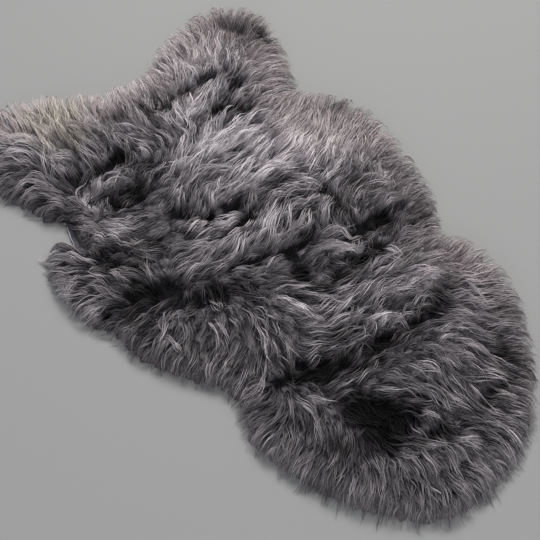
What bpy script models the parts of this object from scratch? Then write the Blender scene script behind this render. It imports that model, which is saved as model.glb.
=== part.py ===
"""Long-wool sheepskin rug: one tanned skin and the fleece that grows on it.

Units are metres and +Z is up. The rug lies flat with its neck towards +Y. The origin is on the floor,
under the middle of the rug's bounding box. Run with: blender --background --python part.py
"""

import math
import random

import bmesh
import bpy
from mathutils import Vector
from mathutils.kdtree import KDTree

MM = 0.001

# Driving sizes
SKIN_THICKNESS = 2.0 * MM
WOOL_GAP = 0.3 * MM  # clearance between the skin and the fleece solid
PILE_HEIGHT = 46.0 * MM  # level of the combed wool above the skin
PILE_AT_RIM = 15.0 * MM  # height of the fleece wall where the rim locks start
SHOULDER_WIDTH = 46.0 * MM  # over which the pile rounds down to its rim
SLAB_PAST_SKIN = 12.0 * MM  # how far the body of the fleece bulges past the cut edge

# Rim locks: tapered tufts that fall over the cut edge to the floor
LOCK_COUNT = 184
LOCK_SHORTEST_REACH = 9.0 * MM  # no lock where the wool hangs over less than this
LOCK_ROOT_RADIUS = 7.6 * MM
LOCK_TIP_RADIUS = 1.4 * MM
LOCK_ROOT_DEPTH = 14.0 * MM  # how far a root is sunk in the fleece
LOCK_ROOT_HEIGHTS = (9.0 * MM, 12.5 * MM)  # alternate locks leave the wall low and high
LOCK_TIP_LIFT = (0.1 * MM, 3.6 * MM)  # clear height under the tip of a low and of a high lock
LOCK_LENGTH_SPREAD = 0.20  # share of its reach that a lock may fall short by
LOCK_SWAY = 9.0 * MM  # sideways bend of the tips, which neighbours share
LOCKS_IN_A_SWAY = 11.0
LOCK_STRAY = 2.5 * MM  # sideways bend of a tip that is its own
LOCK_SEED = 11

# Mesh fineness
CURVE_STEPS = 3  # points of the cut edge from one landmark to the next
FLEECE_CELLS = (34, 56)  # cells of the fleece's upper face across and along

# The cut edge of the skin, clockwise from the neck. Sizes in mm.
# overhang is how far the wool tips reach past the cut edge; below zero, skin is left bare there.
EDGE_COLUMNS = ("landmark", "across", "along", "overhang")
SKIN_EDGE = (
    ("neck middle", 0, 428, 30),
    ("neck right", 52, 425, 35),
    ("right foreleg inner", 125, 468, 42),
    ("right foreleg top", 190, 494, 45),
    ("right foreleg tip", 253, 500, 45),
    ("right foreleg corner", 282, 472, 44),
    ("right foreleg outer", 291, 430, 41),
    ("right foreleg back", 272, 375, 40),
    ("right armpit upper", 240, 305, 37),
    ("right armpit", 223, 243, 32),
    ("right flank corner", 272, 184, 37),
    ("right flank upper", 288, 145, 39),
    ("right flank", 292, 88, 40),
    ("right flank middle", 281, 25, 40),
    ("right flank lower", 268, -40, 40),
    ("right flank end", 250, -86, 38),
    ("right waist", 215, -155, 32),
    ("right hind corner", 235, -212, 36),
    ("right hind", 241, -250, 39),
    ("right hind outer", 229, -296, 40),
    ("right hind lower", 200, -348, 42),
    ("right hind end", 158, -405, 43),
    ("right rump", 100, -466, 45),
    ("rump middle", 26, -493, 46),
    ("left rump", -55, -500, 46),
    ("left rump corner", -103, -469, 45),
    ("left hind end", -146, -419, 43),
    ("left hind lower", -173, -368, 42),
    ("left hind outer", -190, -314, 42),
    ("left hind", -199, -262, 40),
    ("left waist", -178, -208, 33),
    ("left waist upper", -190, -145, 37),
    ("left flank end", -226, -93, 38),
    ("left flank lower", -254, -36, 38),
    ("left flank middle", -266, 28, 39),
    ("left flank", -288, 78, 41),
    ("left flank upper", -289, 138, 41),
    ("left flank corner", -276, 182, 36),
    ("left armpit lower", -253, 209, -14),
    ("left armpit", -248, 232, -18),
    ("left armpit upper", -239, 262, -12),
    ("left foreleg back", -240, 306, 35),
    ("left foreleg outer", -260, 368, 40),
    ("left foreleg side", -275, 425, 42),
    ("left foreleg corner", -268, 469, 44),
    ("left foreleg tip", -234, 498, 45),
    ("left foreleg top", -182, 501, 45),
    ("left foreleg inner", -126, 476, 42),
    ("neck left", -62, 441, 35),
)

# Where the wool parts and sinks, and where it heaps up. Sizes in mm, turn in degrees from +X.
LUMP_COLUMNS = ("across", "along", "half_length", "half_width", "turn", "rise")
LUMPS = (
    (-50, -352, 58, 34, -48, -20),
    (-72, -234, 46, 22, -8, -14),
    (14, -266, 36, 20, 0, -10),
    (132, -262, 38, 20, 10, -13),
    (158, -66, 52, 30, -20, -15),
    (214, 38, 34, 20, 35, -10),
    (-126, -30, 46, 24, -15, -15),
    (-150, 112, 34, 24, 20, -12),
    (-234, 128, 28, 24, 0, -14),
    (-112, 296, 48, 24, 5, -14),
    (-188, 326, 30, 26, 60, -12),
    (-70, 258, 34, 24, 0, -11),
    (-112, 212, 30, 24, 70, -11),
    (112, 312, 34, 20, 20, -12),
    (126, 386, 66, 18, 3, -13),
    (184, 332, 30, 16, 65, -10),
    (24, 318, 28, 20, 80, -9),
    (10, 62, 40, 28, 30, -10),
    (36, -30, 34, 20, -20, -9),
    (4, -84, 30, 24, -70, -12),
    (92, -112, 58, 16, 0, -10),
    (22, -428, 40, 20, 25, -11),
    (166, -372, 30, 22, -30, -11),
    (-196, 30, 44, 26, 80, -8),
    (-90, 52, 70, 26, 5, 8),
    (96, 158, 80, 34, 8, 9),
    (196, 96, 60, 34, 30, 6),
    (24, 196, 60, 30, 15, 5),
    (-70, 120, 40, 24, -25, 6),
    (58, -70, 60, 16, -35, 7),
    (66, -190, 90, 26, -6, 8),
    (-40, -140, 60, 24, -55, 6),
    (44, -330, 60, 26, -30, 8),
    (112, -346, 40, 30, -80, 6),
    (-140, -270, 40, 20, -75, 6),
    (-160, -90, 60, 30, 50, 4),
    (-150, 430, 70, 36, 85, 5),
    (-20, 380, 50, 24, 70, 4),
    (230, 440, 60, 34, 55, 5),
    (120, 346, 50, 14, 25, 5),
    (206, -286, 20, 40, 0, 7),
    (-60, -470, 60, 30, 0, 5),
    (80, -470, 50, 26, -20, 5),
)


def clear_scene():
    for old in list(bpy.data.objects):
        bpy.data.objects.remove(old)


def collection(name):
    made = bpy.data.collections.new(name)
    bpy.context.scene.collection.children.link(made)
    return made


def material(name, colour, roughness):
    made = bpy.data.materials.new(name)
    made.use_nodes = True
    shader = made.node_tree.nodes["Principled BSDF"]
    shader.inputs["Base Color"].default_value = (*colour, 1.0)
    shader.inputs["Roughness"].default_value = roughness
    shader.inputs["Metallic"].default_value = 0.0
    made.diffuse_color = (*colour, 1.0)
    return made


def smooth_loop(points, steps):
    """A closed Catmull-Rom curve through the points, with that many pieces between neighbours."""
    made = []
    for i, start in enumerate(points):
        before, end, after = points[i - 1], points[(i + 1) % len(points)], points[(i + 2) % len(points)]
        for k in range(steps):
            t = k / steps
            made.append(
                0.5
                * (
                    2 * start
                    + (end - before) * t
                    + (2 * before - 5 * start + 4 * end - after) * t**2
                    + (3 * start - before - 3 * end + after) * t**3
                )
            )
    return made


def outward(loop, i):
    """The outward normal of a clockwise loop at its point i."""
    along = loop[(i + 1) % len(loop)] - loop[i - 1]
    return Vector((-along.y, along.x)).normalized()


def skin_edge():
    """The cut edge as a smooth loop, and the wool's overhang at each of its points."""
    rows = [dict(zip(EDGE_COLUMNS, row)) for row in SKIN_EDGE]
    corners = [Vector((row["across"], row["along"])) * MM for row in rows]
    overhangs = [Vector((row["overhang"] * MM, 0.0)) for row in rows]
    return smooth_loop(corners, CURVE_STEPS), [v.x for v in smooth_loop(overhangs, CURVE_STEPS)]


def moved_out(edge, distances):
    return [p + outward(edge, i) * d for i, (p, d) in enumerate(zip(edge, distances))]


def tree_of(points):
    tree = KDTree(len(points))
    for i, p in enumerate(points):
        tree.insert((p.x, p.y, 0.0), i)
    tree.balance()
    return tree


# Skin: one hide, cut along its edge and lying flat on the floor


def make_skin(edge, home):
    curve = bpy.data.curves.new("skin", "CURVE")
    curve.dimensions = "2D"
    curve.fill_mode = "BOTH"
    curve.extrude = SKIN_THICKNESS / 2
    spline = curve.splines.new("POLY")
    spline.points.add(len(edge) - 1)
    for point, p in zip(spline.points, edge):
        point.co = (p.x, p.y, 0.0, 1.0)
    spline.use_cyclic_u = True
    skin = bpy.data.objects.new("skin", curve)
    skin.location.z = SKIN_THICKNESS / 2
    curve.materials.append(material("suede", (0.34, 0.31, 0.33), 0.9))
    home.objects.link(skin)
    return skin


# Fleece: a lumpy slab of wool with tapered locks fused to its rim


def resampled(line, pieces):
    """The points that cut an open line of points into that many equal lengths."""
    lengths = [(b - a).length for a, b in zip(line, line[1:])]
    step = sum(lengths) / pieces
    made, passed, i = [line[0]], 0.0, 0
    for n in range(1, pieces):
        while passed + lengths[i] < n * step:
            passed += lengths[i]
            i += 1
        made.append(line[i].lerp(line[i + 1], (n * step - passed) / lengths[i]))
    return made + [line[-1]]


def rim_between(rim, start, end):
    """The stretch of the rim from one landmark of SKIN_EDGE clockwise to another."""
    names = [row[0] for row in SKIN_EDGE]
    first, last = names.index(start) * CURVE_STEPS, names.index(end) * CURVE_STEPS
    return rim[first : last + 1] if first <= last else rim[first:] + rim[: last + 1]


class RimPatch:
    """Fits a grid between the four sides of the rim, as cloth is fitted in a four-sided frame."""

    def __init__(self, rim, cells_across, cells_along):
        legs = ("left foreleg tip", "right foreleg tip", "right hind end", "left hind end")
        neck, right, rump, left = (
            rim_between(rim, start, end) for start, end in zip(legs, legs[1:] + legs[:1])
        )
        self.neck = resampled(neck, cells_across)
        self.right = resampled(right, cells_along)[::-1]
        self.rump = resampled(rump, cells_across)[::-1]
        self.left = resampled(left, cells_along)
        self.cells_across, self.cells_along = cells_across, cells_along

    def place(self, i, j):
        """Where the grid point i from the left and j from the rump lies."""
        u, v = i / self.cells_across, j / self.cells_along
        between_ends = self.rump[i].lerp(self.neck[i], v)
        between_sides = self.left[j].lerp(self.right[j], u)
        corners = self.rump[0].lerp(self.rump[-1], u).lerp(self.neck[0].lerp(self.neck[-1], u), v)
        return between_ends + between_sides - corners


def lump_rise(p):
    """How far the combed wool lies above or below its mean level at p."""
    rise = 0.0
    for row in LUMPS:
        lump = dict(zip(LUMP_COLUMNS, row))
        turn = math.radians(lump["turn"])
        away = p - Vector((lump["across"], lump["along"])) * MM
        lengthwise = (away.x * math.cos(turn) + away.y * math.sin(turn)) / (lump["half_length"] * MM)
        sideways = (away.y * math.cos(turn) - away.x * math.sin(turn)) / (lump["half_width"] * MM)
        rise += lump["rise"] * MM * math.exp(-(lengthwise**2 + sideways**2))
    return rise


def fleece_base():
    return SKIN_THICKNESS + WOOL_GAP


def pile_top(p, rim_tree):
    """Height of the fleece's upper face at p: rounded down at the rim, lumpy inside it."""
    inside = rim_tree.find((p.x, p.y, 0.0))[2]
    share = min(1.0, inside / SHOULDER_WIDTH)
    shoulder = math.sqrt(1.0 - (1.0 - share) ** 2)
    level = PILE_AT_RIM + (PILE_HEIGHT - PILE_AT_RIM) * shoulder
    return fleece_base() + level + lump_rise(p) * share


def make_slab(rim):
    """The body of the fleece: an upper face fitted to the rim, walls below it and a flat underside."""
    bm = bmesh.new()
    cells_across, cells_along = FLEECE_CELLS
    bmesh.ops.create_grid(bm, x_segments=cells_across, y_segments=cells_along, size=0.5)
    patch = RimPatch(rim, cells_across, cells_along)
    tree = tree_of(smooth_loop(rim, CURVE_STEPS))
    boundary = [e for e in bm.edges if e.is_boundary]
    for v in bm.verts:
        p = patch.place(round((v.co.x + 0.5) * cells_across), round((v.co.y + 0.5) * cells_along))
        v.co = (p.x, p.y, pile_top(p, tree))
    walls = bmesh.ops.extrude_edge_only(bm, edges=boundary)["geom"]
    for v in (g for g in walls if isinstance(g, bmesh.types.BMVert)):
        v.co.z = fleece_base()
    foot = [g for g in walls if isinstance(g, bmesh.types.BMEdge) and g.is_boundary]
    bmesh.ops.contextual_create(bm, geom=foot)
    bmesh.ops.recalc_face_normals(bm, faces=bm.faces)
    mesh = bpy.data.meshes.new("fleece")
    bm.to_mesh(mesh)
    bm.free()
    return mesh


def along_loop(loop, values, count):
    """Evenly spaced (place, value, outward normal) triples round a loop."""
    lengths = [(b - a).length for a, b in zip(loop, loop[1:] + loop[:1])]
    step = sum(lengths) / count
    passed, wanted, made = 0.0, step / 2, []
    for i, length in enumerate(lengths):
        while wanted < passed + length and len(made) < count:
            share = (wanted - passed) / length
            after = (i + 1) % len(loop)
            place = loop[i].lerp(loop[after], share)
            normal = outward(loop, i).lerp(outward(loop, after), share).normalized()
            made.append((place, values[i] + (values[after] - values[i]) * share, normal))
            wanted += step
        passed += length
    return made


def lock_path(number, place, overhang, normal, rng):
    """(point, radius) pairs of one lock, from its sunk root to its tip by the floor."""
    high = number % 2
    sway = LOCK_SWAY * math.sin(2 * math.pi * number / LOCKS_IN_A_SWAY)
    bend = Vector((-normal.y, normal.x)) * (sway + rng.uniform(-LOCK_STRAY, LOCK_STRAY))
    root_out = min(SLAB_PAST_SKIN, overhang) - LOCK_ROOT_DEPTH
    tip_out = overhang * (1.0 - LOCK_LENGTH_SPREAD * rng.random())
    root_z = LOCK_ROOT_HEIGHTS[high] + fleece_base()
    tip_z = LOCK_TIP_LIFT[high] + LOCK_TIP_RADIUS
    stations = (
        # share of the way out, share of the fall, radius
        (0.0, 0.0, LOCK_ROOT_RADIUS),
        (0.50, 0.16, LOCK_ROOT_RADIUS * 0.92),
        (0.80, 0.66, LOCK_ROOT_RADIUS * 0.62),
        (1.0, 1.0, LOCK_TIP_RADIUS),
    )
    path = []
    for out, fall, radius in stations:
        flat = place + normal * (root_out + (tip_out - root_out) * out) + bend * out**2
        lowest = radius + LOCK_TIP_LIFT[0]
        path.append((Vector((*flat, max(lowest, root_z + (tip_z - root_z) * fall))), radius))
    return path


def make_locks(edge, overhangs, home):
    """Every rim lock as one curve object: a tapered four-sided tube for each."""
    rng = random.Random(LOCK_SEED)
    curve = bpy.data.curves.new("rim_locks", "CURVE")
    curve.dimensions = "3D"
    curve.bevel_depth = 1.0
    curve.bevel_resolution = 0
    curve.use_fill_caps = True
    for number, (place, overhang, normal) in enumerate(along_loop(edge, overhangs, LOCK_COUNT)):
        if overhang < LOCK_SHORTEST_REACH:
            continue
        path = lock_path(number, place, overhang, normal, rng)
        spline = curve.splines.new("POLY")
        spline.points.add(len(path) - 1)
        for point, (p, radius) in zip(spline.points, path):
            point.co = (*p, 1.0)
            point.radius = radius
    locks = bpy.data.objects.new("rim_locks", curve)
    home.objects.link(locks)
    return locks


def made_mesh(source, home):
    """Replaces a curve object by the same shape as a mesh with its caps welded."""
    bpy.context.view_layer.update()
    evaluated = source.evaluated_get(bpy.context.evaluated_depsgraph_get())
    mesh = bpy.data.meshes.new_from_object(evaluated)
    bm = bmesh.new()
    bm.from_mesh(mesh)
    bmesh.ops.remove_doubles(bm, verts=bm.verts, dist=0.00001)
    bmesh.ops.recalc_face_normals(bm, faces=bm.faces)
    bm.to_mesh(mesh)
    bm.free()
    made = bpy.data.objects.new(source.name + "_mesh", mesh)
    made.matrix_world = source.matrix_world
    home.objects.link(made)
    bpy.data.objects.remove(source)
    return made


def make_fleece(edge, overhangs, home, cutters):
    rim = moved_out(edge, [min(SLAB_PAST_SKIN, overhang) for overhang in overhangs])
    fleece = bpy.data.objects.new("fleece", make_slab(rim))
    fleece.data.materials.append(material("wool", (0.16, 0.15, 0.16), 0.85))
    home.objects.link(fleece)
    locks = made_mesh(make_locks(edge, overhangs, cutters), cutters)
    locks.hide_render = True
    locks.display_type = "WIRE"
    join = fleece.modifiers.new("rim locks", "BOOLEAN")
    join.operation = "UNION"
    join.object = locks
    join.use_self = True
    return fleece


def centre_on_origin(objects):
    """Moves the rug so that the origin is under the middle of its bounding box."""
    bpy.context.view_layer.update()
    graph = bpy.context.evaluated_depsgraph_get()
    corners = []
    for o in objects:
        shown = o.evaluated_get(graph)
        corners += [shown.matrix_world @ Vector(c) for c in shown.bound_box]
    middle_x = (min(c.x for c in corners) + max(c.x for c in corners)) / 2
    middle_y = (min(c.y for c in corners) + max(c.y for c in corners)) / 2
    for o in bpy.data.objects:
        o.location.x -= middle_x
        o.location.y -= middle_y


def main():
    clear_scene()
    rug = collection("sheepskin_rug")
    cutters = collection("cutters")
    edge, overhangs = skin_edge()
    skin = make_skin(edge, rug)
    fleece = make_fleece(edge, overhangs, rug, cutters)
    centre_on_origin([skin, fleece])


main()
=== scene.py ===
import math

import bmesh
import bpy
import numpy as np
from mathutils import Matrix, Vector
from mathutils.bvhtree import BVHTree


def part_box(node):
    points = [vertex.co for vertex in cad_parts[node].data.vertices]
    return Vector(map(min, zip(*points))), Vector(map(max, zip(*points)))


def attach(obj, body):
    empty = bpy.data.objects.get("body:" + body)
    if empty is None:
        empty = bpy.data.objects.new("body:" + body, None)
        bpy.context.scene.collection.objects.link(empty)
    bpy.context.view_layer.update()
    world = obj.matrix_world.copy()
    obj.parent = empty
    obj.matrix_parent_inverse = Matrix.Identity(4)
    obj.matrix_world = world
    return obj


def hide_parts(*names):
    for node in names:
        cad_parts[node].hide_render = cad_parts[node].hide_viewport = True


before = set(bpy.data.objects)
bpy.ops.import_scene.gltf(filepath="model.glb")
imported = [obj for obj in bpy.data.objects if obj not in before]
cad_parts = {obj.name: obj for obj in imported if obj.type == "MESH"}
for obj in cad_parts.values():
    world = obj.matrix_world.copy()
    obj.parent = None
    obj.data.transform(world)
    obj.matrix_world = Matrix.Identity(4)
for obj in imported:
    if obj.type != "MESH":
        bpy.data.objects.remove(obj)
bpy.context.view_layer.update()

MM = 0.001

# ---------------------------------------------------------------------------------------------
# Skin: the tanned hide that the wool grows on, a dyed suede sheet about 2 mm thick that lies flat
# on the floor. Its edge is cut to the pelt's own outline and curls up a little where it is bare.
SKIN_THICKNESS = 2.0 * MM
SKIN_GRID = 12 * MM
GRID_MARGIN = 60 * MM  # how far past the cut edge a grid starts, before it is cut back
CURL = 4 * MM
CURL_WIDTH = 22 * MM
CUT_WIDTH = 0.2 * MM  # how near the cut edge the skin shows raw
MOTTLE, NAP = 22, 900  # patches for each metre
SUEDE = (0.060, 0.055, 0.070, 1)
SUEDE_PALE = (0.120, 0.112, 0.135, 1)
CUT_EDGE = (0.80, 0.79, 0.80, 1)
# Oval patches nearly bare of wool: (mm across the pelt, mm along its spine, half length, half width,
# turn in degrees)
BARE = ((-243, 220, 44, 9.5, 82), (-246, 194, 17, 10, 66))


def mesh_points(mesh):
    points = np.empty(len(mesh.vertices) * 3)
    mesh.vertices.foreach_get("co", points)
    return points.reshape(-1, 3)


def corner_points(node):
    """The corners of a node's triangles, as (triangle, corner, axis)."""
    mesh = node.data
    mesh.calc_loop_triangles()
    corners = np.empty(len(mesh.loop_triangles) * 3, np.int32)
    mesh.loop_triangles.foreach_get("vertices", corners)
    return mesh_points(mesh)[corners].reshape(-1, 3, 3)


def cut_edge(node):
    """The outline of the skin's underside as a loop of points, counter-clockwise."""
    triangles = corner_points(node)
    underside = triangles[np.all(triangles[:, :, 2] < 0.1 * MM, axis=1)]
    keys, places = {}, []

    def key(point):
        # corners that lie within a hundredth of a millimetre are one
        name = (round(point[0] * 1e5), round(point[1] * 1e5))
        if name not in keys:
            keys[name] = len(places)
            places.append(point[:2])
        return keys[name]

    sides = {}
    for triangle in underside:
        a, b, c = (key(point) for point in triangle)
        for side in ((a, b), (b, c), (c, a)):
            sides[side] = sides.get(side, 0) + 1
    following = {a: b for a, b in sides if (b, a) not in sides}
    start = min(following)
    loop, at = [start], following[start]
    while at != start:
        loop.append(at)
        at = following[at]
    loop = np.array([places[i] for i in loop])
    area = np.sum(loop[:, 0] * np.roll(loop[:, 1], -1) - np.roll(loop[:, 0], -1) * loop[:, 1])
    return loop if area > 0 else loop[::-1]


edge = cut_edge(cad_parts["skin"])


def from_edge(points):
    """(how far each point lies outside the cut edge, where on the edge it is nearest, the way out)."""
    starts, ends = edge, np.roll(edge, -1, axis=0)
    along = ends - starts
    length = np.linalg.norm(along, axis=1)
    best = np.full(len(points), np.inf)
    place = np.zeros(len(points))
    out = np.zeros((len(points), 2))
    crossings = np.zeros(len(points), int)
    for i in range(len(edge)):
        away = points - starts[i]
        share = np.clip(away @ along[i] / length[i] ** 2, 0, 1)
        gap = away - share[:, None] * along[i]
        far = np.linalg.norm(gap, axis=1)
        near = far < best
        best[near] = far[near]
        place[near] = i + share[near]
        out[near] = gap[near]
        (x0, y0), (x1, y1) = starts[i], ends[i]
        spans = (y0 > points[:, 1]) != (y1 > points[:, 1])
        if y1 != y0:
            crossings += spans & (points[:, 0] < x0 + (points[:, 1] - y0) / (y1 - y0) * (x1 - x0))
    inside = crossings % 2 == 1
    out = out / np.maximum(best, 1e-9)[:, None]
    out[inside] *= -1
    return np.where(inside, -best, best), place, out


def inside_patch(points, across, along, half_length, half_width, turn):
    """1 in the middle of an oval patch, a half at its rim and 0 well outside it."""
    angle = math.radians(turn)
    x, y = points[:, 0] - across * MM, points[:, 1] - along * MM
    u = (x * math.cos(angle) + y * math.sin(angle)) / (half_length * MM)
    v = (y * math.cos(angle) - x * math.sin(angle)) / (half_width * MM)
    return np.exp(-((u**2 + v**2) ** 1.5) * 0.7)


def within(points, patches):
    """1 in the middle of any of the patches, to 0 well outside them all."""
    return np.clip(sum(inside_patch(points, *patch) for patch in patches), 0, 1)


def flat_places(vertices):
    return np.array([v.co[:2] for v in vertices])


def pelt_grid(step, reach_at):
    """A flat grid that ends this far outside the cut edge, and its boundary edges."""
    low, high = edge.min(axis=0) - GRID_MARGIN, edge.max(axis=0) + GRID_MARGIN
    cells = [int(n) for n in np.ceil((high - low) / step)]
    bm = bmesh.new()
    bmesh.ops.create_grid(bm, x_segments=cells[0], y_segments=cells[1], size=0.5)
    for v in bm.verts:
        v.co.x = low[0] + (v.co.x + 0.5) * cells[0] * step
        v.co.y = low[1] + (v.co.y + 0.5) * cells[1] * step
    faces = list(bm.faces)
    middles = np.array([f.calc_center_median()[:2] for f in faces])
    past = from_edge(middles)[0] - reach_at(middles)
    gone = [f for f, far in zip(faces, past) if far > 0]
    bmesh.ops.delete(bm, geom=gone, context="FACES")
    boundary = [e for e in bm.edges if e.is_boundary]
    rim = list({v: None for e in boundary for v in e.verts})
    for v, place in zip(rim, set_back(flat_places(rim), reach_at)):
        v.co.x, v.co.y = place
    return bm, boundary


def set_back(points, reach_at):
    """The points moved straight out or in, until they lie this far outside the cut edge."""
    outside, _, out = from_edge(points)
    return points - (outside - reach_at(points))[:, None] * out


def placed(name, data):
    """A new object in the scene that holds this mesh, lamp or camera."""
    made = bpy.data.objects.new(name, data)
    bpy.context.scene.collection.objects.link(made)
    return made


def finished(bm, name, material):
    bmesh.ops.recalc_face_normals(bm, faces=bm.faces)
    mesh = bpy.data.meshes.new(name)
    bm.to_mesh(mesh)
    bm.free()
    mesh.materials.append(material)
    mesh.shade_smooth()
    return placed(name, mesh)


def set_values(mesh, name, values):
    """Keep a number or a vector at each point of the mesh, for a material or a node tree to read."""
    kind, key = ("FLOAT", "value") if values.ndim == 1 else ("FLOAT_VECTOR", "vector")
    mesh.attributes.new(name, kind, "POINT").data.foreach_set(key, values.astype(np.float32).ravel())


class Nodes:
    """Short ways to add nodes to a tree. An input is given a plain value or another node's output."""

    def __init__(self, tree):
        self.tree = tree

    def feed(self, node, inputs):
        for key, value in inputs.items():
            if isinstance(value, bpy.types.NodeSocket):
                self.tree.links.new(value, node.inputs[key])
            else:
                node.inputs[key].default_value = value

    def add(self, kind, inputs=None, **settings):
        node = self.tree.nodes.new(kind)
        for key, value in settings.items():
            setattr(node, key, value)
        self.feed(node, inputs or {})
        return node

    def number(self, operation, *values):
        return self.add("ShaderNodeMath", dict(enumerate(values)), operation=operation).outputs[0]

    def vector(self, operation, *values, out="Vector", **named):
        inputs = dict(enumerate(values)) | named
        return self.add("ShaderNodeVectorMath", inputs, operation=operation).outputs[out]

    def dot(self, first, second):
        return self.vector("DOT_PRODUCT", first, second, out="Value")

    def kept(self, name, out="Fac"):
        """What the mesh keeps under this name."""
        return self.add("ShaderNodeAttribute", attribute_name=name).outputs[out]

    def place(self):
        return self.add("ShaderNodeTexCoord").outputs["Object"]

    def noise(self, place, scale, detail):
        inputs = {"Vector": place, "Scale": scale, "Detail": detail}
        return self.add("ShaderNodeTexNoise", inputs).outputs["Fac"]

    def ranged(self, value, given, wanted):
        """A value from one range, spread over another."""
        inputs = {"Value": value, "From Min": given[0], "From Max": given[1]}
        inputs |= {"To Min": wanted[0], "To Max": wanted[1]}
        return self.add("ShaderNodeMapRange", inputs).outputs["Result"]

    def mixed(self, share, first, second, way="MIX"):
        inputs = {"Factor": share, "A": first, "B": second}
        return self.add("ShaderNodeMix", inputs, data_type="RGBA", blend_type=way).outputs["Result"]

    def graded(self, value, stops):
        """The colour at a value from 0 to 1, between stops given as (value, colour)."""
        node = self.add("ShaderNodeValToRGB", {"Fac": value})
        elements = node.color_ramp.elements
        for at, _ in stops[1:-1]:
            elements.new(at)
        for element, (at, colour) in zip(elements, stops):
            element.position = at
            element.color = (*colour, 1)
        return node.outputs["Color"]

    def raised(self, height, strength, distance):
        inputs = {"Height": height, "Strength": strength, "Distance": distance}
        return self.add("ShaderNodeBump", inputs).outputs["Normal"]


def new_material(name):
    """A material, its nodes and its shader."""
    made = bpy.data.materials.new(name)
    made.use_nodes = True
    return made, Nodes(made.node_tree), made.node_tree.nodes["Principled BSDF"]


def suede_material():
    """Dyed suede, mottled and finely napped, with a paler raw line along its cut edge."""
    made, nodes, shader = new_material("dyed suede")
    place = nodes.place()
    mottle, nap = nodes.noise(place, MOTTLE, 4), nodes.noise(place, NAP, 3)
    pale = nodes.number("MULTIPLY_ADD", nap, 0.4, nodes.ranged(mottle, (0.3, 0.7), (0, 0.6)))
    suede = nodes.mixed(pale, SUEDE, SUEDE_PALE)
    raw = nodes.ranged(nodes.kept("cut"), (0.88, 0.96), (0, 0.8))
    surface = {
        "Base Color": nodes.mixed(raw, suede, CUT_EDGE),
        "Roughness": nodes.ranged(nap, (0, 1), (0.78, 0.98)),
        "Normal": nodes.raised(nap, 0.5, 0.6 * MM),
        "Specular IOR Level": 0.25,
    }
    nodes.feed(shader, surface)
    return made


def curl_at(points):
    """How far the skin curls up off the floor."""
    near = np.clip(1 + from_edge(points)[0] / CURL_WIDTH, 0, 1) ** 2
    return CURL * near * within(points, BARE)


def make_skin():
    """The hide, and the area of its flat outline."""
    bm, boundary = pelt_grid(SKIN_GRID, lambda points: np.zeros(len(points)))
    top = list(bm.faces)
    flat_area = sum(f.calc_area() for f in top)
    under = bmesh.ops.duplicate(bm, geom=top)
    upper = {v for f in top for v in f.verts}
    twin = {v: w for v, w in under["vert_map"].items() if v in upper}
    for v in twin:
        v.co.z = SKIN_THICKNESS
    for e in boundary:
        a, b = e.verts
        bm.faces.new((a, b, twin[b], twin[a]))
    vertices = list(bm.verts)
    places = flat_places(vertices)
    for v, lift in zip(vertices, curl_at(places)):
        v.co.z += lift
    made = finished(bm, "hide", suede_material())
    set_values(made.data, "cut", from_edge(places)[0] > -CUT_WIDTH)
    return made, flat_area


hide, hide_area = make_skin()
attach(hide, "root")
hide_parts("skin")

# ---------------------------------------------------------------------------------------------
# Undercoat: the dense lower wool that fills the fleece between the locks, hangs over the cut edge
# and keeps light off the skin. It is lower than the combed wool and stops short of the bare strip,
# and like it parts, swells and lies the way it was combed, place by place.
UNDERCOAT_SHARE = 0.56  # of the combed wool's height
UNDERCOAT_REACH = 0.70  # of how far the wool hangs over the edge
UNDERCOAT_GRID = 4.8 * MM
UNDERCOAT_LOCK = 12 * MM  # size of one combed patch of it
UNDERCOAT_THINNEST = 1 * MM
UNDERCOAT_NICK = 3.2 * MM  # how unevenly its rim ends
NICK_SIZE = 11 * MM
BARE_INSET = 9 * MM
SKIN_GAP = 0.3 * MM
FLOOR_GAP = 0.5 * MM
LOWEST_RIM = 0.8 * MM
STEP_UP = 1.5 * MM  # how far outside the cut edge its lower face still lies on the floor
STREAKS_ACROSS, STREAKS_ALONG = 430.0, 45.0  # for each metre across and along the combed way
BAND_SIZE = 13 * MM  # width of the pale and dark bands in the wool, partly its own uneven tone and partly painted shade in the gaps between locks
# its colour by how full the wool is: the near-black end is painted shade deep in the partings
UNDERCOAT_SHADES = (
    (0.12, (0.004, 0.0036, 0.0045)),
    (0.50, (0.090, 0.083, 0.091)),
    (1.00, (0.30, 0.278, 0.290)),
)


def overhang_round_edge():
    """How far the wool's tips reach past the cut edge, at each of its points."""
    points = corner_points(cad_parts["fleece"]).reshape(-1, 3)
    outside, place, _ = from_edge(points[:, :2])
    reach = np.zeros(len(edge))
    index = np.round(place).astype(int) % len(edge)
    np.maximum.at(reach, index[outside > 0], outside[outside > 0])
    widest = np.max([np.roll(reach, k) for k in (-2, -1, 0, 1, 2)], axis=0)
    return (np.roll(widest, 1) + widest * 2 + np.roll(widest, -1)) / 4


overhang = overhang_round_edge()

# Height of the combed wool over the floor, on a grid over the whole rug
STEP = 5 * MM
MARGIN = 12 * STEP
WOOL_LOW, WOOL_HIGH = (np.array(corner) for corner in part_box("fleece"))
grid_x, grid_y = (np.arange(WOOL_LOW[n] - MARGIN, WOOL_HIGH[n] + MARGIN, STEP) for n in (0, 1))
RIM_SHOULDER = 40 * MM  # height of the wool where it turns over the cut edge
RIM_TURN = 14 * MM  # how far inside the edge that is
RIM_BLEND = 34 * MM  # how far inside the edge the turn starts to tell
RIM_BOW = 0.58  # the lower, the fuller the wool bows out over the edge
FLOOR_WOOL = 1.5 * MM
FULLER_WAY = math.radians(53)  # from +X: the wool stands and reaches fuller on the side that faces there
FULLER_SIDE = np.array([math.cos(FULLER_WAY), math.sin(FULLER_WAY)])
FULLER_REACH = 11 * MM
FULLER_FALL = 8 * MM
FULLER_RISE = 9 * MM


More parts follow.
